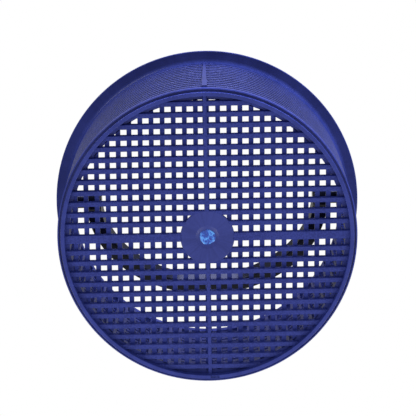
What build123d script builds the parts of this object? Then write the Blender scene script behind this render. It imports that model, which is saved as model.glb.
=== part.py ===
from build123d import *

import os
from math import cos, degrees, radians, sin

# Pool skimmer basket: a slatted blue basket moulding and its swinging bail handle.
# Origin at the centre of the underside, +Z up through the open rim, +X along the bail's pivot axis.

os.makedirs("parts", exist_ok=True)

# driving dimensions, millimetres
base_radius = 82.0  # outside of the wall at the bottom
wall_flare = 2.6  # how much wider the wall is under the rim
flange_width = 7.0  # how far the rim flange stands out from the wall
height = 103.9  # underside of the foot ring to the top of the rim

# bottom grid: slats outside, bars inside, square to each other
grid_pitch = 6.0
slat_width = 3.3  # at the root; the slats narrow towards their face
slat_thickness = 2.2
slat_draft = 0.45  # how much each side of a slat or flow rib leans in towards the face
bar_width = 2.6
bar_thickness = 2.4
core_twist = 0.75  # degrees that the inside half of the mould sits turned
main_rib_width = 5.3  # the wide flow rib along X
cross_rib_width = 2.8  # the narrow flow rib along Y
main_rib_gap = 3.2  # first row of holes, beside the wide rib

# hub disc and the gate where the plastic entered
hub_radius = 14.8
gate_well_radius = 6.6
gate_well_depth = 0.7
gate_stub_radius = 4.2
gate_stub_drop = 0.25  # how far the broken stub stays inside the face

# foot ring, with the wall's bottom lip outside it and the floor ring inside it
lip_width = 2.0
lip_chamfer = 0.5
groove_width = 1.2  # between the foot ring and the lip
groove_depth = 1.0
foot_width = 2.2
foot_stand = 2.9  # how far the foot ring stands below the slats
floor_ring_width = 2.3

# wall lattice: rings outside, staves inside
wall_layer = 2.0  # radial depth of the rings, and of the staves
ring_count = 13
ring_height = 3.2
stave_count = 84
stave_width = 2.2
rib_bottom_width = 3.2
rib_top_width = 1.5
rib_depth = 0.9

# rim
collar_height = 5.6
flange_thickness = 2.0
flange_root = 4.6  # flange depth where it leaves the wall
flange_cove = 2.4  # width of the slope under the flange, before its flat seat
flange_edge_radius = 0.8

# bail handle, its pivot pins and the lugs that carry them
pin_lift = 1.6  # how far the pins clear the rim
bail_width = 9.2
bail_thickness = 10.0
bail_skin = 2.2
bail_lift = 27.0  # degrees that the bail is held up from the rim's plane
bail_web_count = 9
eye_radius = 6.4
pin_radius = 4.0
pin_clearance = 0.1
lug_thickness = 4.0
lug_width = 15.0
lug_wall = 4.0
lug_inset = 1.0  # how far the lugs stand in from the collar's bore
lug_gap = 5.8  # bail's outside to the lug's inner face

# worked out
top_radius = base_radius + wall_flare
rim_radius = top_radius + flange_width
foot_outer_radius = base_radius - lip_width
foot_inner_radius = foot_outer_radius - foot_width
floor_ring_radius = foot_inner_radius - floor_ring_width
bar_level = foot_stand + slat_thickness
floor_height = bar_level + bar_thickness
collar_bottom = height - collar_height
wall_height = collar_bottom - floor_height
ring_gap = (wall_height - ring_count * ring_height) / (ring_count + 1)
collar_inner_radius = top_radius - 2 * wall_layer
lug_inner_face = collar_inner_radius - lug_inset
lug_outer_face = lug_inner_face + lug_thickness
bail_outer_radius = lug_inner_face - lug_gap
bail_inner_radius = bail_outer_radius - bail_width
pivot_height = height + pin_radius + pin_lift
bore_radius = pin_radius + pin_clearance
lug_radius = bore_radius + lug_wall


def outside_radius(z):
    """Radius of the wall's outside at a height."""
    return base_radius + wall_flare * (z - floor_height) / wall_height


def finish(part, name):
    """Label a finished piece and write it to its file."""
    part.label = name
    export_step(part, f"parts/{name}.step")


def cone_band(low, high, inset, depth):
    """Corners of a band that follows the wall's slope, from one height to another."""
    return [
        (outside_radius(low) - inset - depth, low),
        (outside_radius(low) - inset, low),
        (outside_radius(high) - inset, high),
        (outside_radius(high) - inset - depth, high),
    ]


def drafted_strips(places, root_width):
    """Faces on the current plane: strips that narrow from their root down to the grid's face."""
    for place in places:
        Polygon(
            (place - root_width / 2, bar_level),
            (place + root_width / 2, bar_level),
            (place + root_width / 2 - slat_draft, foot_stand),
            (place - root_width / 2 + slat_draft, foot_stand),
            align=None,
        )


# bottom: outer layer of slats, either side of the wide rib
slat_offset = main_rib_width / 2 + main_rib_gap + slat_width / 2
slat_rows = int((foot_inner_radius - slat_offset) / grid_pitch) + 1
slat_places = [
    side * (slat_offset + row * grid_pitch) for side in (-1, 1) for row in range(slat_rows)
]

with BuildPart() as base_slats:
    with BuildSketch(Plane.YZ):
        drafted_strips(slat_places, slat_width)
    extrude(amount=base_radius, both=True)
    with BuildSketch(Plane.XY.offset(foot_stand)):
        Circle(foot_inner_radius)
        Circle(hub_radius, mode=Mode.SUBTRACT)
        Rectangle(cross_rib_width, 2 * base_radius, mode=Mode.SUBTRACT)
    extrude(amount=slat_thickness, mode=Mode.INTERSECT)
finish(base_slats.part, "base_slats")

for rib_plane, rib_width, rib_name in (
    (Plane.YZ, main_rib_width, "main_rib"),
    (Plane.XZ, cross_rib_width, "cross_rib"),
):
    with BuildPart() as flow_rib:
        with BuildSketch(rib_plane):
            drafted_strips([0], rib_width)
        extrude(amount=base_radius, both=True)
        with BuildSketch(Plane.XY.offset(foot_stand)):
            Circle(foot_inner_radius)
            Circle(hub_radius, mode=Mode.SUBTRACT)
        extrude(amount=slat_thickness, mode=Mode.INTERSECT)
    finish(flow_rib.part, rib_name)

# bottom: inner layer of bars, turned a little with the core of the mould
bar_rows = int(floor_ring_radius / grid_pitch)
bar_places = [(row * grid_pitch, 0) for row in range(-bar_rows, bar_rows + 1)]

with BuildPart() as base_bars:
    with BuildSketch(Plane.XY.offset(bar_level).rotated((0, 0, core_twist))):
        with Locations(bar_places):
            Rectangle(bar_width, 2 * base_radius)
        Circle(floor_ring_radius, mode=Mode.INTERSECT)
    extrude(amount=bar_thickness)
finish(base_bars.part, "base_bars")

# hub disc, with the sunken well around the gate
with BuildPart() as hub_disc:
    with BuildSketch(Plane.XY.offset(foot_stand)):
        Circle(hub_radius)
    extrude(amount=slat_thickness)
    with BuildSketch(Plane.XY.offset(foot_stand)):
        Circle(gate_well_radius)
    extrude(amount=gate_well_depth, mode=Mode.SUBTRACT)
finish(hub_disc.part, "hub_disc")

with BuildPart() as gate_stub:
    with BuildSketch(Plane.XY.offset(foot_stand + gate_stub_drop)):
        Circle(gate_stub_radius)
    extrude(amount=gate_well_depth - gate_stub_drop)
    chamfer(gate_stub.faces().sort_by(Axis.Z)[0].edges(), gate_stub_drop)
finish(gate_stub.part, "gate_stub")

# foot ring, the floor ring inside it and the lip that starts the wall
with BuildPart() as foot_ring:
    with BuildSketch():
        Circle(foot_outer_radius)
        Circle(foot_inner_radius, mode=Mode.SUBTRACT)
    extrude(amount=floor_height)
    foot_edges = foot_ring.edges().filter_by(GeomType.CIRCLE).group_by(Axis.Z)[0]
    fillet(foot_edges, flange_edge_radius / 2)
finish(foot_ring.part, "foot_ring")

with BuildPart() as floor_ring:
    with BuildSketch(Plane.XY.offset(bar_level)):
        Circle(foot_inner_radius)
        Circle(floor_ring_radius, mode=Mode.SUBTRACT)
    extrude(amount=bar_thickness)
finish(floor_ring.part, "floor_ring")

with BuildPart() as wall_lip:
    with BuildSketch(Plane.XY.offset(foot_stand)):
        Circle(base_radius)
        Circle(foot_outer_radius, mode=Mode.SUBTRACT)
    extrude(amount=floor_height - foot_stand)
    lip_edge = wall_lip.edges().filter_by(GeomType.CIRCLE).group_by(Axis.Z)[0].sort_by(SortBy.RADIUS)[-1]
    chamfer(lip_edge, lip_chamfer)
    with BuildSketch(Plane.XY.offset(foot_stand)):
        Circle(foot_outer_radius + groove_width)
        Circle(foot_outer_radius, mode=Mode.SUBTRACT)
    extrude(amount=groove_depth, mode=Mode.SUBTRACT)
finish(wall_lip.part, "wall_lip")

# wall: rings outside
ring_heights = [
    floor_height + ring_gap + step * (ring_height + ring_gap) for step in range(ring_count)
]

with BuildPart() as wall_rings:
    for ring_bottom in ring_heights:
        with BuildSketch(Plane.XZ):
            with BuildLine():
                corners = cone_band(ring_bottom, ring_bottom + ring_height, 0, wall_layer)
                Polyline(*corners, close=True)
            make_face()
        revolve(axis=Axis.Z)
finish(wall_rings.part, "wall_rings")

# wall: staves inside, all round
stave_arc = degrees(stave_width / (base_radius - wall_layer))

with BuildPart() as one_stave:
    with BuildSketch(Plane.XZ):
        with BuildLine():
            corners = cone_band(floor_height, collar_bottom, wall_layer, wall_layer)
            Polyline(*corners, close=True)
        make_face()
    revolve(axis=Axis.Z, revolution_arc=stave_arc)

with BuildPart() as wall_staves:
    with PolarLocations(0, stave_count, start_angle=-stave_arc / 2):
        add(one_stave.part)
finish(wall_staves.part, "wall_staves")

# wall: tapering flow ribs outside the rings, in line with the narrow rib of the bottom
for rib_turn, rib_name in ((90, "back"), (-90, "front")):
    with BuildPart() as wall_rib:
        with BuildSketch(Plane.XZ):
            with BuildLine():
                Polyline(*cone_band(floor_height, collar_bottom, -rib_depth, rib_depth), close=True)
            make_face()
        revolve(axis=Axis.Z)
        with BuildSketch(Plane.YZ):
            with BuildLine():
                Polyline(
                    (-rib_bottom_width / 2, floor_height),
                    (rib_bottom_width / 2, floor_height),
                    (rib_top_width / 2, collar_bottom),
                    (-rib_top_width / 2, collar_bottom),
                    close=True,
                )
            make_face()
        extrude(amount=2 * rim_radius, mode=Mode.INTERSECT)
    finish(wall_rib.part.rotate(Axis.Z, rib_turn), f"wall_rib_{rib_name}")

# rim: collar and flange
with BuildPart() as collar:
    with BuildSketch(Plane.XZ):
        with BuildLine():
            Polyline(
                (collar_inner_radius, collar_bottom),
                (top_radius, collar_bottom),
                (top_radius, height),
                (collar_inner_radius, height),
                close=True,
            )
        make_face()
    revolve(axis=Axis.Z)
    mouth_edge = collar.edges().group_by(Axis.Z)[-1].sort_by(SortBy.RADIUS)[0]
    chamfer(mouth_edge, flange_edge_radius / 2)
finish(collar.part, "collar")

with BuildPart() as rim_flange:
    with BuildSketch(Plane.XZ):
        with BuildLine():
            Polyline(
                (top_radius, height - flange_root),
                (top_radius + flange_cove, height - flange_thickness),
                (rim_radius, height - flange_thickness),
                (rim_radius, height),
                (top_radius, height),
                close=True,
            )
        make_face()
    revolve(axis=Axis.Z)
    outer_edges = rim_flange.edges().filter_by(GeomType.CIRCLE).sort_by(SortBy.RADIUS)[-2:]
    fillet(outer_edges, flange_edge_radius)
finish(rim_flange.part, "rim_flange")

# lugs that carry the bail, standing on the collar
for side, side_name in ((1, "right"), (-1, "left")):
    with BuildPart() as lug:
        with BuildSketch(Plane.YZ.offset(side * lug_inner_face)):
            with Locations((0, (collar_bottom + pivot_height) / 2)):
                Rectangle(lug_width, pivot_height - collar_bottom)
            with Locations((0, pivot_height)):
                Circle(lug_radius)
                Circle(bore_radius, mode=Mode.SUBTRACT)
        extrude(amount=side * lug_thickness)
        with BuildSketch(Plane.XY.offset(collar_bottom)):
            Circle(rim_radius)
            Circle(collar_inner_radius, mode=Mode.SUBTRACT)
        extrude(amount=height - collar_bottom, mode=Mode.SUBTRACT)
    finish(lug.part, f"pivot_lug_{side_name}")

# bail: a half ring of channel section, open on the side away from the basket
pivot = (0, 0, pivot_height)
bail_up = (0, -sin(radians(bail_lift)), cos(radians(bail_lift)))
bail_plane = Plane(origin=pivot, x_dir=(1, 0, 0), z_dir=bail_up)
bail_face = bail_plane.offset(-bail_thickness / 2)
web_turns = [180 / (bail_web_count + 1) * (step + 1) for step in range(bail_web_count)]

with BuildPart() as bail_arch:
    with BuildSketch(bail_face):
        Circle(bail_outer_radius)
        Circle(bail_inner_radius, mode=Mode.SUBTRACT)
        with Locations((0, bail_outer_radius / 2)):
            Rectangle(2 * bail_outer_radius, bail_outer_radius, mode=Mode.INTERSECT)
    extrude(amount=bail_thickness)
    with BuildSketch(bail_face.offset(bail_skin)):
        Circle(bail_outer_radius - bail_skin)
        Circle(bail_inner_radius + bail_skin, mode=Mode.SUBTRACT)
        for turn in web_turns:
            with Locations(Rotation(0, 0, turn)):
                with Locations((bail_outer_radius, 0)):
                    Rectangle(2 * bail_width, bail_skin * 0.7, mode=Mode.SUBTRACT)
        with Locations((0, bail_outer_radius / 2 + eye_radius + bail_skin)):
            Rectangle(2 * bail_outer_radius, bail_outer_radius, mode=Mode.INTERSECT)
    extrude(amount=bail_thickness, mode=Mode.SUBTRACT)
    with BuildSketch(Plane.YZ.offset(-bail_outer_radius)):
        with Locations((0, pivot_height)):
            Circle(eye_radius)
    extrude(amount=2 * bail_outer_radius, mode=Mode.SUBTRACT)
finish(bail_arch.part, "bail_arch")

for side, side_name in ((1, "right"), (-1, "left")):
    with BuildPart() as bail_eye:
        with BuildSketch(Plane.YZ.offset(side * bail_inner_radius)):
            with Locations((0, pivot_height)):
                Circle(eye_radius)
        extrude(amount=side * bail_width)
    finish(bail_eye.part, f"bail_eye_{side_name}")

    with BuildPart() as pivot_pin:
        with BuildSketch(Plane.YZ.offset(side * bail_outer_radius)):
            with Locations((0, pivot_height)):
                Circle(pin_radius)
        extrude(amount=side * (lug_outer_face - bail_outer_radius))
        tip = pivot_pin.faces().sort_by(Axis.X)[-1 if side > 0 else 0]
        chamfer(tip.edges(), pin_radius / 5)
    finish(pivot_pin.part, f"pivot_pin_{side_name}")
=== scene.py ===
from math import asin, copysign, pi, radians, sqrt

import bmesh
import bpy
from mathutils import Euler, Matrix, Vector, noise


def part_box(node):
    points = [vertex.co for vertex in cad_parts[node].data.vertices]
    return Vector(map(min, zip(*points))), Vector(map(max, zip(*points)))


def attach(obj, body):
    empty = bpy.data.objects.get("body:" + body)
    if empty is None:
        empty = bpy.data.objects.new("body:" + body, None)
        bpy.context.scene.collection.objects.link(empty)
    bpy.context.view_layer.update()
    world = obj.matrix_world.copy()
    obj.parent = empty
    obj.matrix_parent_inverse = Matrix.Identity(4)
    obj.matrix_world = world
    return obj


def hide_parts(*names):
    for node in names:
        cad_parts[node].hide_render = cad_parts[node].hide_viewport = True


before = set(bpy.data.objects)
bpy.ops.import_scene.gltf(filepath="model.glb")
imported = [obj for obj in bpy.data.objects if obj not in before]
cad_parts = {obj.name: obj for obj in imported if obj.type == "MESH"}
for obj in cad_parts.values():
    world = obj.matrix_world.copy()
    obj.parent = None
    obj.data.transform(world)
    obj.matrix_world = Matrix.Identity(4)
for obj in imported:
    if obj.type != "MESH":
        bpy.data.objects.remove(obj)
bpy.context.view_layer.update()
mm = 0.001
longEdge = 10 * mm  # an edge longer than this runs the length of its piece
print("frame loaded")


# places read from the frame
slatLow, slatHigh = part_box("base_slats")
barLow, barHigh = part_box("base_bars")
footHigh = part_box("foot_ring")[1]
lipLow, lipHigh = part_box("wall_lip")
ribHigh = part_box("main_rib")[1]
collarLow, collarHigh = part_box("collar")
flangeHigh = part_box("rim_flange")[1]
eyeLow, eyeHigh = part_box("bail_eye_right")
lugLow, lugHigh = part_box("pivot_lug_right")
pinLow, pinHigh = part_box("pivot_pin_right")
hubLow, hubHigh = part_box("hub_disc")
pivotHeight = (pinLow.z + pinHigh.z) / 2

wall = {
    "bottomRadius": lipHigh.x,
    "topRadius": collarHigh.x,
    "low": footHigh.z,
    "high": collarLow.z,
    "layer": 2.0 * mm,  # depth of the rings, and of the staves behind them
}


def wallRadius(height):
    # outside of the wall, which flares a little towards the rim
    rise = (height - wall["low"]) / (wall["high"] - wall["low"])
    return wall["bottomRadius"] + (wall["topRadius"] - wall["bottomRadius"]) * rise


# materials
class Wire:
    # one socket of a material, used in sums like a number
    def __init__(self, tree, socket=None):
        self.tree = tree
        self.socket = socket

    def node(self, kind, settings=None, inputs=None, output=0):
        made = self.tree.nodes.new("ShaderNode" + kind)
        for name, value in (settings or {}).items():
            if name == "stops":
                for index, (place, shade) in enumerate(value):
                    ends = made.color_ramp.elements
                    stop = ends[index] if index < 2 else ends.new(place)
                    stop.position = place
                    stop.color = (*shade, 1) if len(shade) == 3 else shade
            else:
                setattr(made, name, value)
        for name, value in (inputs or {}).items():
            if isinstance(value, Wire):
                self.tree.links.new(value.socket, made.inputs[name])
            else:
                made.inputs[name].default_value = value
        return Wire(self.tree, made.outputs[output])

    def maths(self, operation, first, second, clamp=False):
        return self.node("Math", {"operation": operation, "use_clamp": clamp}, {0: first, 1: second})

    def __add__(self, other):
        return self.maths("ADD", self, other)

    def __sub__(self, other):
        return self.maths("SUBTRACT", self, other)

    def __rsub__(self, other):
        return self.maths("SUBTRACT", other, self)

    def __mul__(self, other):
        return self.maths("MULTIPLY", self, other)

    __radd__ = __add__
    __rmul__ = __mul__

    def clipped(self):
        return self.maths("ADD", self, 0, clamp=True)

    def between(self, low, high):
        # 0 below low, 1 above high, smooth between them
        settings = {"interpolation_type": "SMOOTHSTEP"}
        return self.node("MapRange", settings, {"Value": self, "From Min": low, "From Max": high})


def mixed(amount, first, second):
    colours = {0: amount, 6: (*first, 1) if isinstance(first, tuple) else first}
    colours[7] = (*second, 1) if isinstance(second, tuple) else second
    return amount.node("Mix", {"data_type": "RGBA"}, colours, output=2)


def startMaterial(name):
    made = bpy.data.materials.new(name)
    made.use_nodes = True
    shader = made.node_tree.nodes["Principled BSDF"]
    start = Wire(made.node_tree)
    place = start.node("TexCoord", output=3)
    return made, shader, start, place


def feed(material, shader, values):
    for name, value in values.items():
        if isinstance(value, Wire):
            material.node_tree.links.new(value.socket, shader.inputs[name])
        else:
            shader.inputs[name].default_value = value


def speckle(place, scale, detail=2.0, roughness=0.5, kind="Fac"):
    settings = {"noise_dimensions": "3D"}
    inputs = {"Vector": place, "Scale": scale, "Detail": detail, "Roughness": roughness}
    return place.node("TexNoise", settings, inputs, output=kind)


bluePlastic = {
    "deep": (0.016, 0.025, 0.163),
    "light": (0.027, 0.040, 0.228),
    "scuff": (0.12, 0.14, 0.42),
    "cloud": 38.0,  # pigment clouds, per metre
    "grain": 2600.0,  # mould texture, per metre
    "mottle": 1100.0,  # small patches of pigment, per metre
    "streak": 9.0,  # flow streaks round the gate
}


def makeBlue(name, shade=1.0, roughness=0.42, grain=0.35, scuffs=0.25, mottle=0.2, shine=0.3):
    made, shader, start, place = startMaterial(name)
    cloud = speckle(place, bluePlastic["cloud"], 3.0)
    flat = place.node("VectorMath", {"operation": "MULTIPLY"}, {0: place, 1: (1, 1, 0.15)})
    outward = flat.node("VectorMath", {"operation": "NORMALIZE"}, {0: flat})
    drift = place.node("VectorMath", {"operation": "SCALE"}, {0: place, "Scale": 6.0})
    swirl = outward.node("VectorMath", {"operation": "ADD"}, {0: outward, 1: drift})
    streaks = speckle(swirl, bluePlastic["streak"], 4.0, 0.6)
    patch = speckle(place, bluePlastic["mottle"], 2.0, 0.6)
    tone = (cloud * 0.55 + streaks * 0.45 + (patch - 0.5) * mottle).between(0.32, 0.68)
    # shade scales the whole colour: above 1 it is painted light, below 1 it is painted shade
    deep = tuple(part * shade for part in bluePlastic["deep"])
    light = tuple(part * shade for part in bluePlastic["light"])
    body = mixed(tone, deep, light)
    fine = speckle(place, bluePlastic["grain"], 2.0, 0.6)
    stretched = place.node("VectorMath", {"operation": "MULTIPLY"}, {0: place, 1: (1.0, 0.12, 1.0)})
    scratch = speckle(stretched, 900.0, 3.0, 0.7).between(0.66, 0.74)
    patches = speckle(place, 55.0, 2.0).between(0.5, 0.66)
    wear = (scratch * patches * scuffs).clipped()
    colour = mixed(wear, body, bluePlastic["scuff"])
    dull = (fine - 0.5) * 0.16 + (cloud - 0.5) * 0.12 + wear * 0.25 + roughness
    hollow = fine * grain + cloud * 0.15 - wear * 0.3
    bump = start.node("Bump", {}, {"Strength": 0.35, "Distance": 0.00012, "Height": hollow})
    feed(made, shader, {"Base Color": colour, "Roughness": dull, "Normal": bump})
    feed(made, shader, {"IOR": 1.49, "Specular IOR Level": shine})
    return made


def makeTornBlue(name):
    made, shader, start, place = startMaterial(name)
    warp = speckle(place, 300.0, 2.0, 0.6, "Color")
    shift = place.node("VectorMath", {"operation": "SCALE"}, {0: warp, "Scale": 0.004})
    bent = place.node("VectorMath", {"operation": "ADD"}, {0: place, 1: shift})
    facetsAndGlints = place.node("TexVoronoi", {"feature": "F1"}, {"Vector": bent, "Scale": 620.0})
    ripple = speckle(place, 330.0, 3.0, 0.6)
    tone = (facetsAndGlints * 0.9 + ripple * 0.8).between(0.55, 1.15)
    # the ramp gives the torn plastic its uneven deep blue; its brightest end is painted highlight on the
    # facets
    stops = [(0.0, (0.01, 0.04, 0.32)), (1.0, (0.1, 0.36, 0.9)), (0.6, (0.02, 0.11, 0.58))]
    colour = tone.node("ValToRGB", {"stops": stops}, {"Fac": tone})
    bump = start.node("Bump", {}, {"Strength": 0.9, "Distance": 0.0003, "Height": ripple})
    dull = ripple * 0.3 + 0.1
    feed(made, shader, {"Base Color": colour, "Roughness": dull, "Normal": bump})
    feed(made, shader, {"Coat Weight": 0.4, "Coat Roughness": 0.08, "IOR": 1.49})
    return made


blackPlastic = {"deep": (0.0035, 0.0045, 0.012), "light": (0.010, 0.012, 0.026)}


def makeBlack(name):
    made, shader, start, place = startMaterial(name)
    cloud = speckle(place, 60.0, 3.0)
    fine = speckle(place, 1800.0, 2.0, 0.6)
    stretched = place.node("VectorMath", {"operation": "MULTIPLY"}, {0: place, 1: (0.1, 1.0, 1.0)})
    scratch = speckle(stretched, 1200.0, 3.0, 0.7).between(0.64, 0.72)
    patches = speckle(place, 70.0, 2.0).between(0.46, 0.62)
    wear = (scratch * patches * 0.5).clipped()
    colour = mixed((cloud * 0.8 + wear).clipped(), blackPlastic["deep"], blackPlastic["light"])
    dull = (fine - 0.5) * 0.08 + (cloud - 0.5) * 0.1 + wear * 0.2 + 0.2
    hollow = fine * 0.15 + cloud * 0.5 - wear * 0.4
    bump = start.node("Bump", {}, {"Strength": 0.25, "Distance": 0.0001, "Height": hollow})
    feed(made, shader, {"Base Color": colour, "Roughness": dull, "Normal": bump})
    feed(made, shader, {"IOR": 1.5, "Specular IOR Level": 0.16})
    return made


# copies of the one blue plastic; each shade value paints how light falls on that region: painted shade on
# the wall and rim, painted light on the slats, bars, hub and foot ring
slatBlue = makeBlue("slatBlue", shade=1.12, roughness=0.46, grain=0.6, mottle=1.6, shine=0.2)
barBlue = makeBlue("barBlue", shade=1.15, roughness=0.42, grain=0.3, mottle=0.5, shine=0.12)
hubBlue = makeBlue("hubBlue", shade=1.12, roughness=0.36, grain=0.12, shine=0.34)
wallBlue = makeBlue("wallBlue", shade=0.8, roughness=0.36, grain=0.03, shine=0.32)
footBlue = makeBlue("footBlue", shade=1.2, roughness=0.34, grain=0.06, scuffs=0.4, shine=0.25)
rimBlue = makeBlue("rimBlue", shade=0.9, roughness=0.34, grain=0.06, scuffs=0.4, shine=0.12)
tornBlue = makeTornBlue("tornBlue")
bailBlack = makeBlack("bailBlack")
print("materials made")


# mesh helpers
def roundEdges(bm, width, segments=2, sharper=30, among=None):
    edges = among if among is not None else bm.edges
    whole = [edge for edge in edges if len(edge.link_faces) == 2]
    sharp = [edge for edge in whole if edge.calc_face_angle() > radians(sharper)]
    bmesh.ops.bevel(
        bm, geom=sharp, affect="EDGES", offset=width, segments=segments, profile=0.5, material=-1,
        clamp_overlap=True,
    )


def addBar(bm, low, high):
    # a box from its lowest to its highest corner; gives its vertices
    made = bmesh.ops.create_cube(bm, size=1)["verts"]
    size = [high[axis] - low[axis] for axis in range(3)]
    centre = [(high[axis] + low[axis]) / 2 for axis in range(3)]
    bmesh.ops.scale(bm, vec=size, verts=made)
    bmesh.ops.translate(bm, vec=centre, verts=made)
    return made


def turned(outline, steps=192):
    # a closed outline of radius and height, spun about the basket's axis
    bm = bmesh.new()
    points = [bm.verts.new((radius, 0, height)) for radius, height in outline]
    edges = [bm.edges.new((points[index - 1], points[index])) for index in range(len(points))]
    bmesh.ops.spin(
        bm, geom=points + edges, cent=(0, 0, 0), axis=(0, 0, 1), angle=2 * pi, steps=steps, use_merge=True
    )
    bmesh.ops.remove_doubles(bm, verts=bm.verts, dist=0.001 * mm)
    bmesh.ops.recalc_face_normals(bm, faces=bm.faces)
    return bm


def mergeIn(bm, other):
    # puts a second bmesh into the first
    mesh = bpy.data.meshes.new("part")
    other.to_mesh(mesh)
    other.free()
    bm.from_mesh(mesh)
    bpy.data.meshes.remove(mesh)


def addPiece(bm, name, body, nodes, material, crease=40):
    bmesh.ops.remove_doubles(bm, verts=bm.verts, dist=0.001 * mm)
    bmesh.ops.recalc_face_normals(bm, faces=bm.faces)
    mesh = bpy.data.meshes.new(name)
    bm.to_mesh(mesh)
    bm.free()
    mesh.shade_smooth()
    mesh.set_sharp_from_angle(angle=radians(crease))
    mesh.materials.append(material)
    piece = bpy.data.objects.new(name, mesh)
    bpy.context.scene.collection.objects.link(piece)
    even = piece.modifiers.new("evenShading", "WEIGHTED_NORMAL")
    even.keep_sharp = True
    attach(piece, body)
    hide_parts(*nodes)
    print("made", name, len(mesh.polygons), "faces")
    return piece


# bottom grid
grid = {
    "pitch": 6.0 * mm,
    "slatWidth": 3.3 * mm,  # at the root
    "slatDraft": 0.45 * mm,  # how much each side leans in towards the face
    "barWidth": 2.6 * mm,
    "mainRib": 5.3 * mm,
    "crossRib": 2.8 * mm,
    "mainGap": 3.2 * mm,
    "coreTwist": radians(0.75),
    "corner": 0.25 * mm,
    "buried": 0.5 * mm,  # how far the ends run into the foot ring and the hub
}
footInner = ribHigh.x
floorRadius = barHigh.y
hubRadius = hubHigh.x
slatEnd = footInner + grid["buried"]
hubEnd = hubRadius - grid["buried"]
slatMiddle = (slatLow.z + slatHigh.z) / 2


def reach(radius, across):
    return sqrt(max(radius * radius - across * across, 0))


def lowEdgesAlong(bm):
    # the long edges, along X, of the face that slats and ribs show underneath
    chosen = []
    for edge in bm.edges:
        first, second = (vert.co for vert in edge.verts)
        level = max(first.z, second.z) < slatMiddle
        if level and abs(first.x - second.x) > abs(first.y - second.y):
            chosen.append(edge)
    return chosen


def makeSlats():
    bm = bmesh.new()
    first = grid["mainRib"] / 2 + grid["mainGap"] + grid["slatWidth"] / 2
    rows = int((footInner - first) / grid["pitch"]) + 1
    for side in (-1, 1):
        for row in range(rows):
            middle = side * (first + row * grid["pitch"])
            for hand in (-1, 1):
                half = grid["slatWidth"] / 2
                made = addBar(bm, (0, middle - half, slatLow.z), (1, middle + half, slatHigh.z))
                for vert in made:
                    inner = max(reach(hubEnd, vert.co.y), grid["crossRib"] / 2 - grid["buried"])
                    outer = reach(slatEnd, vert.co.y)
                    vert.co.x = hand * (outer if vert.co.x > 0.5 else inner)
                    if vert.co.z < slatMiddle:
                        vert.co.y -= copysign(grid["slatDraft"], vert.co.y - middle)
    bmesh.ops.recalc_face_normals(bm, faces=bm.faces)
    roundEdges(bm, grid["corner"], 2, among=lowEdgesAlong(bm))
    return bm


def makeBars():
    bm = bmesh.new()
    count = int(floorRadius / grid["pitch"])
    for row in range(-count, count + 1):
        middle = row * grid["pitch"]
        half = grid["barWidth"] / 2
        made = addBar(bm, (middle - half, -1, barLow.z), (middle + half, 1, barHigh.z))
        for vert in made:
            vert.co.y = copysign(reach(floorRadius + grid["buried"], vert.co.x), vert.co.y)
    bmesh.ops.recalc_face_normals(bm, faces=bm.faces)
    long = [e for e in bm.edges if abs(e.verts[0].co.y - e.verts[1].co.y) > 4 * mm]
    roundEdges(bm, grid["corner"], 2, among=long)
    bmesh.ops.rotate(bm, cent=(0, 0, 0), matrix=Matrix.Rotation(grid["coreTwist"], 3, "Z"), verts=bm.verts)
    return bm


def makeRib(width, along):
    # a flow rib either side of the hub, along X or Y
    bm = bmesh.new()
    for hand in (-1, 1):
        made = addBar(bm, (0, -width / 2, slatLow.z), (1, width / 2, slatHigh.z))
        for vert in made:
            radius = slatEnd if vert.co.x > 0.5 else hubEnd
            vert.co.x = hand * reach(radius, vert.co.y)
            if vert.co.z < slatMiddle:
                vert.co.y -= copysign(grid["slatDraft"], vert.co.y)
    bmesh.ops.recalc_face_normals(bm, faces=bm.faces)
    roundEdges(bm, grid["corner"], 2, among=lowEdgesAlong(bm))
    if along == "Y":
        bmesh.ops.rotate(bm, cent=(0, 0, 0), matrix=Matrix.Rotation(pi / 2, 3, "Z"), verts=bm.verts)
    return bm


addPiece(makeSlats(), "gridSlats", "basket", ["base_slats"], slatBlue)
addPiece(makeBars(), "gridBars", "basket", ["base_bars"], barBlue)
mainRib = makeRib(grid["mainRib"], "X")
addPiece(mainRib, "mainFlowRib", "basket", ["main_rib"], slatBlue)
crossRib = makeRib(grid["crossRib"], "Y")
addPiece(crossRib, "crossFlowRib", "basket", ["cross_rib"], slatBlue)

# hub disc and gate
hub = {
    "edge": 0.5 * mm,
    "wellRadius": 6.6 * mm,
    "wellDepth": 0.7 * mm,
    "wellSlope": 2.0 * mm,
}


def makeHub():
    low, high = hubLow.z, hubHigh.z
    roof = low + hub["wellDepth"]
    outline = [
        (0, high),
        (hubRadius, high),
        (hubRadius, low + hub["edge"]),
        (hubRadius - hub["edge"] * 0.3, low + hub["edge"] * 0.3),
        (hubRadius - hub["edge"], low),
        (hub["wellRadius"], low),
        (hub["wellRadius"] - 0.3 * mm, low + 0.1 * mm),
        (hub["wellRadius"] - hub["wellSlope"], roof),
        (0, roof),
    ]
    return turned(outline, 96)


gate = {
    "radius": 4.2 * mm,
    "setBack": 0.25 * mm,  # its tip stays this far inside the hub's face
    "root": 0.3 * mm,  # how far it runs up into the hub
    "ragged": 0.13,  # how uneven its outline is
    "leastSwell": 0.35,
    "seed": 11,
}


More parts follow.
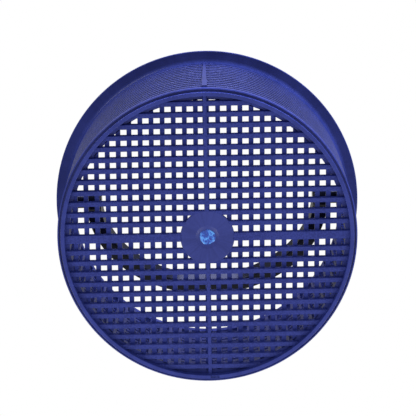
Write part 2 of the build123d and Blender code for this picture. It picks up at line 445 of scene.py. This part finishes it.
def makeGate():
    # the torn end of the runner: a small dome pulled into ridges
    bm = bmesh.new()
    made = bmesh.ops.create_uvsphere(bm, u_segments=40, v_segments=20, radius=1)["verts"]
    roof = hubLow.z + hub["wellDepth"]
    drop = hub["wellDepth"] - gate["setBack"]
    shift = Vector((gate["seed"], 3.7, 1.9))
    for vert in made:
        way = vert.co.copy()
        wobble = noise.noise(Vector((way.x, way.y, 0)) * 1.7 + shift)
        ridge = noise.noise(Vector((way.x * 3.2, way.y * 1.2, 0)) + shift * 2)
        size = gate["radius"] * (1 + gate["ragged"] * wobble)
        vert.co.x, vert.co.y = way.x * size, way.y * size
        swell = 1 - 0.35 * abs(ridge) - 0.25 * (wobble + 0.3)
        swell = min(max(swell, gate["leastSwell"]), 1.0)
        vert.co.z = roof - drop * sqrt(-way.z) * swell if way.z < 0 else roof + gate["root"] * way.z
    return bm


addPiece(makeHub(), "hubDisc", "basket", ["hub_disc"], hubBlue, 25)
addPiece(makeGate(), "tornGate", "basket", ["gate_stub"], tornBlue, 50)

# foot ring, groove and the wall's bottom lip
foot = {
    "round": 0.35 * mm,
    "lipChamfer": 0.5 * mm,
    "grooveWidth": 1.2 * mm,
    "grooveDepth": 1.0 * mm,
}


def makeFoot():
    outline = [
        (floorRadius, footHigh.z),
        (floorRadius, barLow.z),
        (footInner, barLow.z),
        (footInner, 0),
        (footHigh.x, 0),
        (footHigh.x, lipLow.z + foot["grooveDepth"]),
        (footHigh.x + foot["grooveWidth"], lipLow.z + foot["grooveDepth"]),
        (footHigh.x + foot["grooveWidth"], lipLow.z),
        (lipHigh.x - foot["lipChamfer"], lipLow.z),
        (lipHigh.x, lipLow.z + foot["lipChamfer"]),
        (lipHigh.x, lipHigh.z),
    ]
    bm = turned(outline)
    ring = [edge for edge in bm.edges if min(vert.co.z for vert in edge.verts) < mm]
    roundEdges(bm, foot["round"], 3, among=ring)
    return bm


footNodes = ["foot_ring", "floor_ring", "wall_lip"]
addPiece(makeFoot(), "footRing", "basket", footNodes, footBlue)

# wall: rings outside, staves inside, flow ribs over them
rings = {"count": 13, "tall": 3.2 * mm, "round": 0.55 * mm}
staves = {"count": 84, "width": 2.2 * mm, "round": 0.45 * mm}
ribs = {"bottom": 3.2 * mm, "top": 1.5 * mm, "proud": 0.9 * mm, "round": 0.4 * mm}


def makeRings():
    whole = bmesh.new()
    gap = (wall["high"] - wall["low"] - rings["count"] * rings["tall"]) / (rings["count"] + 1)
    for step in range(rings["count"]):
        low = wall["low"] + gap + step * (rings["tall"] + gap)
        high = low + rings["tall"]
        inner = wallRadius(low) - wall["layer"]
        outline = [(inner, low), (wallRadius(low), low), (wallRadius(high), high), (inner, high)]
        bm = turned(outline, 168)
        roundEdges(bm, rings["round"], 2)
        mergeIn(whole, bm)
    return whole


def makeStaves():
    bm = bmesh.new()
    half = staves["width"] / 2
    outer = wallRadius(wall["low"]) - wall["layer"] + 0.15 * mm
    inner = outer - wall["layer"] - 0.15 * mm
    low, high = wall["low"] - 0.3 * mm, wall["high"] + 0.3 * mm
    made = addBar(bm, (inner, -half, low), (outer, half, high))
    for vert in made:
        if vert.co.z > (low + high) / 2:
            vert.co.x += wall["topRadius"] - wall["bottomRadius"]
    bmesh.ops.recalc_face_normals(bm, faces=bm.faces)
    long = [e for e in bm.edges if abs(e.verts[0].co.z - e.verts[1].co.z) > longEdge]
    roundEdges(bm, staves["round"], 2, among=long)
    turn = 2 * pi / staves["count"]
    bmesh.ops.spin(
        bm, geom=bm.verts[:] + bm.edges[:] + bm.faces[:], cent=(0, 0, 0), axis=(0, 0, 1),
        angle=turn * (staves["count"] - 1), steps=staves["count"] - 1, use_duplicate=True,
    )
    return bm


def makeWallRib(turn):
    bm = bmesh.new()
    low, high = wall["low"] - 0.2 * mm, wall["high"] + 0.2 * mm
    made = addBar(bm, (0, -0.5, low), (1, 0.5, high))
    for vert in made:
        atTop = vert.co.z > (low + high) / 2
        width = ribs["top"] if atTop else ribs["bottom"]
        vert.co.y = copysign(width / 2, vert.co.y)
        face = wallRadius(vert.co.z)
        vert.co.x = face + ribs["proud"] if vert.co.x > 0.5 else face - wall["layer"] / 2
    bmesh.ops.recalc_face_normals(bm, faces=bm.faces)
    clear = wallRadius(wall["low"]) + ribs["proud"] / 2
    upright = [e for e in bm.edges if abs(e.verts[0].co.z - e.verts[1].co.z) > longEdge]
    proud = [e for e in upright if min(vert.co.x for vert in e.verts) > clear]
    roundEdges(bm, ribs["round"], 2, among=proud)
    bmesh.ops.rotate(bm, cent=(0, 0, 0), matrix=Matrix.Rotation(turn, 3, "Z"), verts=bm.verts)
    return bm


addPiece(makeRings(), "wallRings", "basket", ["wall_rings"], wallBlue)
addPiece(makeStaves(), "wallStaves", "basket", ["wall_staves"], wallBlue)
for turn, side in ((pi / 2, "back"), (-pi / 2, "front")):
    rib = makeWallRib(turn)
    name = "wallFlowRib" + side.capitalize()
    addPiece(rib, name, "basket", ["wall_rib_" + side], wallBlue)

# rim: collar and flange in one turned shape
rim = {"cove": 2.4 * mm, "root": 4.6 * mm, "thick": 2.0 * mm, "round": 0.7 * mm}


def makeRim():
    inner = collarHigh.x - 2 * wall["layer"]
    top, bottom = collarHigh.z, collarLow.z
    outline = [
        (inner, bottom),
        (collarHigh.x, bottom),
        (collarHigh.x, top - rim["root"]),
        (collarHigh.x + rim["cove"] * 0.3, top - rim["thick"] - 1.2 * mm),
        (collarHigh.x + rim["cove"], top - rim["thick"]),
        (flangeHigh.x, top - rim["thick"]),
        (flangeHigh.x, top),
        (inner, top),
    ]
    bm = turned(outline)
    roundEdges(bm, rim["round"], 3, sharper=60)
    return bm


addPiece(makeRim(), "rim", "basket", ["collar", "rim_flange"], rimBlue)

# pivot lugs
lug = {
    "boreClear": 0.1 * mm,
    "round": 0.6 * mm,
    "sides": 48,
    "sunk": 2 * mm,  # how far its foot stands below the top of the collar
    "corner": 0.98,  # share of the outer radius from which the outline goes straight down
}


def makeLug(hand):
    bm = bmesh.new()
    outer = lugHigh.z - pivotHeight
    bore = (pinHigh.z - pinLow.z) / 2 + lug["boreClear"]
    loops = []
    for radius in (bore, outer):
        made = bmesh.ops.create_circle(bm, cap_ends=False, segments=lug["sides"], radius=radius)
        loops.append(made["verts"])
    sole = collarHigh.z - lug["sunk"] - pivotHeight
    half = (lugHigh.y - lugLow.y) / 2
    for vert in loops[1]:
        if vert.co.y < -0.01 * mm:
            # the lower half of the outline becomes a straight-sided foot
            steep = abs(vert.co.x) / outer
            corner = steep >= lug["corner"]
            vert.co.y = sole / 2 if corner else sole
            vert.co.x = copysign(half, vert.co.x) if corner else vert.co.x * half / outer
    bmesh.ops.bridge_loops(bm, edges=bm.edges[:])
    plate = bm.faces[:]
    grown = bmesh.ops.extrude_face_region(bm, geom=plate, use_keep_orig=True)["geom"]
    raised = [item for item in grown if isinstance(item, bmesh.types.BMVert)]
    bmesh.ops.translate(bm, vec=(0, 0, lugHigh.x - lugLow.x), verts=raised)
    bmesh.ops.recalc_face_normals(bm, faces=bm.faces)
    roundEdges(bm, lug["round"], 2, sharper=50)
    stand = Matrix(((0, 0, 1), (1, 0, 0), (0, 1, 0)))
    bmesh.ops.rotate(bm, cent=(0, 0, 0), matrix=stand, verts=bm.verts)
    bmesh.ops.translate(bm, vec=(lugLow.x, 0, pivotHeight), verts=bm.verts)
    if hand < 0:
        bmesh.ops.scale(bm, vec=(-1, 1, 1), verts=bm.verts)
    return bm


addPiece(makeLug(1), "pivotLugRight", "basket", ["pivot_lug_right"], rimBlue)
addPiece(makeLug(-1), "pivotLugLeft", "basket", ["pivot_lug_left"], rimBlue)

# bail: half ring of channel section with webs, eyes and pins
bail = {
    "lift": radians(27),
    "thick": 10.0 * mm,
    "skin": 2.2 * mm,
    "web": 1.5 * mm,
    "webCount": 9,
    "round": 0.7 * mm,
}
bailOuter = eyeHigh.x
bailInner = eyeLow.x
eyeRadius = (eyeHigh.z - eyeLow.z) / 2
pinRadius = (pinHigh.z - pinLow.z) / 2


def standOnPivot(bm):
    lift = Matrix.Translation((0, 0, pivotHeight)) @ Matrix.Rotation(bail["lift"], 4, "X")
    bmesh.ops.transform(bm, matrix=lift, verts=bm.verts)


def makeArch():
    bm = bmesh.new()
    half, skin = bail["thick"] / 2, bail["skin"]
    outline = [
        (bailInner, -half),
        (bailOuter, -half),
        (bailOuter, half),
        (bailOuter - skin, half),
        (bailOuter - skin, skin - half),
        (bailInner + skin, skin - half),
        (bailInner + skin, half),
        (bailInner, half),
    ]
    start = asin(eyeRadius * 0.7 / bailOuter)
    points = [bm.verts.new((radius, 0, height)) for radius, height in outline]
    edges = [bm.edges.new((points[index - 1], points[index])) for index in range(len(points))]
    bmesh.ops.rotate(bm, cent=(0, 0, 0), matrix=Matrix.Rotation(start, 3, "Z"), verts=points)
    bmesh.ops.spin(
        bm, geom=points + edges, cent=(0, 0, 0), axis=(0, 0, 1), angle=pi - 2 * start, steps=72
    )
    bmesh.ops.holes_fill(bm, edges=[e for e in bm.edges if e.is_boundary])
    bmesh.ops.recalc_face_normals(bm, faces=bm.faces)
    roundEdges(bm, bail["round"], 3, sharper=60)
    webs = bmesh.new()
    made = addBar(
        webs,
        (bailInner + skin / 2, -bail["web"] / 2, skin / 2 - half),
        (bailOuter - skin / 2, bail["web"] / 2, half - 0.5 * mm),
    )
    roundEdges(webs, bail["round"] / 3, 2)
    turn = pi / (bail["webCount"] + 1)
    bmesh.ops.rotate(webs, cent=(0, 0, 0), matrix=Matrix.Rotation(turn, 3, "Z"), verts=webs.verts)
    bmesh.ops.spin(
        webs, geom=webs.verts[:] + webs.edges[:] + webs.faces[:], cent=(0, 0, 0), axis=(0, 0, 1),
        angle=turn * (bail["webCount"] - 1), steps=bail["webCount"] - 1, use_duplicate=True,
    )
    mergeIn(bm, webs)
    standOnPivot(bm)
    return bm


def makeDrum(radius, low, high, roundness, hand):
    # a round bar along X
    bm = bmesh.new()
    bmesh.ops.create_cone(
        bm, cap_ends=True, cap_tris=False, segments=56, radius1=radius, radius2=radius, depth=high - low
    )
    roundEdges(bm, roundness, 3)
    bmesh.ops.rotate(bm, cent=(0, 0, 0), matrix=Matrix.Rotation(hand * pi / 2, 3, "Y"), verts=bm.verts)
    bmesh.ops.translate(bm, vec=(hand * (low + high) / 2, 0, pivotHeight), verts=bm.verts)
    return bm


addPiece(makeArch(), "bailArch", "bail", ["bail_arch"], bailBlack)
for hand, side in ((1, "right"), (-1, "left")):
    eye = makeDrum(eyeRadius, bailInner, bailOuter, bail["round"], hand)
    name = side.capitalize()
    addPiece(eye, "bailEye" + name, "bail", ["bail_eye_" + side], bailBlack)
    pin = makeDrum(pinRadius, bailOuter - 0.5 * mm, pinHigh.x, bail["round"], hand)
    addPiece(pin, "pivotPin" + name, "bail", ["pivot_pin_" + side], bailBlack)
print("pieces made")

# floor, light and camera
floorLook = {"reach": 3, "paint": (0.86, 0.86, 0.86, 1), "roughness": 0.85}


def makeFloor():
    bm = bmesh.new()
    bmesh.ops.create_grid(bm, x_segments=1, y_segments=1, size=floorLook["reach"])
    mesh = bpy.data.meshes.new("floor")
    bm.to_mesh(mesh)
    bm.free()
    floor = bpy.data.objects.new("floor", mesh)
    bpy.context.scene.collection.objects.link(floor)
    made, shader, start, place = startMaterial("paleFloor")
    feed(made, shader, {"Base Color": floorLook["paint"], "Roughness": floorLook["roughness"]})
    # seen only from above: from below it is clear
    clear = start.node("BsdfTransparent")
    facing = start.node("NewGeometry", output=6)
    seen = start.node("MixShader", {}, {0: facing, 1: Wire(made.node_tree, shader.outputs[0]), 2: clear})
    made.node_tree.links.new(seen.socket, made.node_tree.nodes["Material Output"].inputs[0])
    mesh.materials.append(made)
    floor.visible_diffuse = False
    floor.visible_glossy = False
    floor.visible_transmission = False
    floor.visible_shadow = False


# place and size in metres; each lamp points at the middle of the basket unless it has an aim
basketMiddle = (0, 0, 0.05)
softboxes = {
    "lowLeft": {"place": (-0.65, 0.75, -0.9), "aim": (0, 0, 0.03), "size": (0.6, 0.6), "watts": 4},
    "lowRight": {"place": (0.65, 0.75, -0.9), "aim": (0, 0, 0.03), "size": (0.6, 0.6), "watts": 4},
    "sideLeft": {"place": (-0.8, -1.0, 0.22), "size": (0.8, 0.3), "watts": 6},
    "sideRight": {"place": (0.8, -1.0, 0.22), "size": (0.8, 0.3), "watts": 27, "mirrored": False},
    "highFar": {
        "place": (0, -1.03, 0.63),
        "aim": (0, 0.06, 0.13),  # the inner face of the bail
        "size": (0.9, 0.25),
        "watts": 10,
        "tint": (0.45, 0.5, 1.0),
    },
    "highLeft": {"place": (-0.9, 0.7, 1.0), "size": (1.0, 1.0), "watts": 5},
    "highRight": {"place": (0.9, 0.7, 1.0), "size": (1.0, 1.0), "watts": 5},
}


def addSoftbox(name, place, size, watts, aim=basketMiddle, tint=(1, 1, 1), mirrored=True):
    lamp = bpy.data.lights.new(name, "AREA")
    lamp.shape = "RECTANGLE"
    lamp.size, lamp.size_y = size
    lamp.energy = watts
    lamp.color = tint
    box = bpy.data.objects.new(name, lamp)
    box.location = place
    box.rotation_euler = (Vector(aim) - Vector(place)).to_track_quat("-Z", "Y").to_euler()
    # a lamp that is not mirrored still lights matt surfaces, but makes no highlight
    box.visible_glossy = mirrored
    bpy.context.scene.collection.objects.link(box)


view = {
    "aim": (0.64 * mm, -16.42 * mm, 2.5 * mm),
    "away": 842.3 * mm,
    "azimuth": radians(0.35),
    "elevation": radians(-78.35),
    "roll": radians(-0.83),
    "lens": 134.1,
    "sensor": 36,
    "near": 0.01,
    "far": 20,
}


def makeCamera():
    lens = bpy.data.cameras.new("camera")
    lens.lens = view["lens"]
    lens.sensor_width = view["sensor"]
    lens.clip_start = view["near"]
    lens.clip_end = view["far"]
    camera = bpy.data.objects.new("camera", lens)
    turn = Euler((pi / 2 - view["elevation"], 0, view["azimuth"])).to_matrix()
    turn = turn @ Matrix.Rotation(view["roll"], 3, "Z")
    back = turn @ Vector((0, 0, 1))
    place = Vector(view["aim"]) + back * view["away"]
    camera.matrix_world = Matrix.Translation(place) @ turn.to_4x4()
    bpy.context.scene.collection.objects.link(camera)
    bpy.context.scene.camera = camera


# strength of the room's light, which changes from the low to the high end
studio = {"above": 0.36, "below": 0.72, "lowEnd": -0.9, "highEnd": 0.6}


def makeWorld():
    world = bpy.data.worlds.new("studio")
    world.use_nodes = True
    tree = world.node_tree
    shade = tree.nodes["Background"]
    shade.inputs["Color"].default_value = (1, 1, 1, 1)
    # the backdrop is plain white; the room is dimmer, and brightest under the basket
    start = Wire(tree)
    seen = start.node("LightPath", output=0)
    way = start.node("TexCoord", output=0)
    height = way.node("SeparateXYZ", {}, {0: way}, output=2)
    rise = height.between(studio["lowEnd"], studio["highEnd"])
    room = rise * (studio["above"] - studio["below"]) + studio["below"]
    strength = seen * (1 - room) + room
    tree.links.new(strength.socket, shade.inputs["Strength"])
    bpy.context.scene.world = world


makeFloor()
makeWorld()
for name, box in softboxes.items():
    addSoftbox(name, **box)
makeCamera()
bpy.context.scene.view_settings.view_transform = "Standard"
print("stage set")
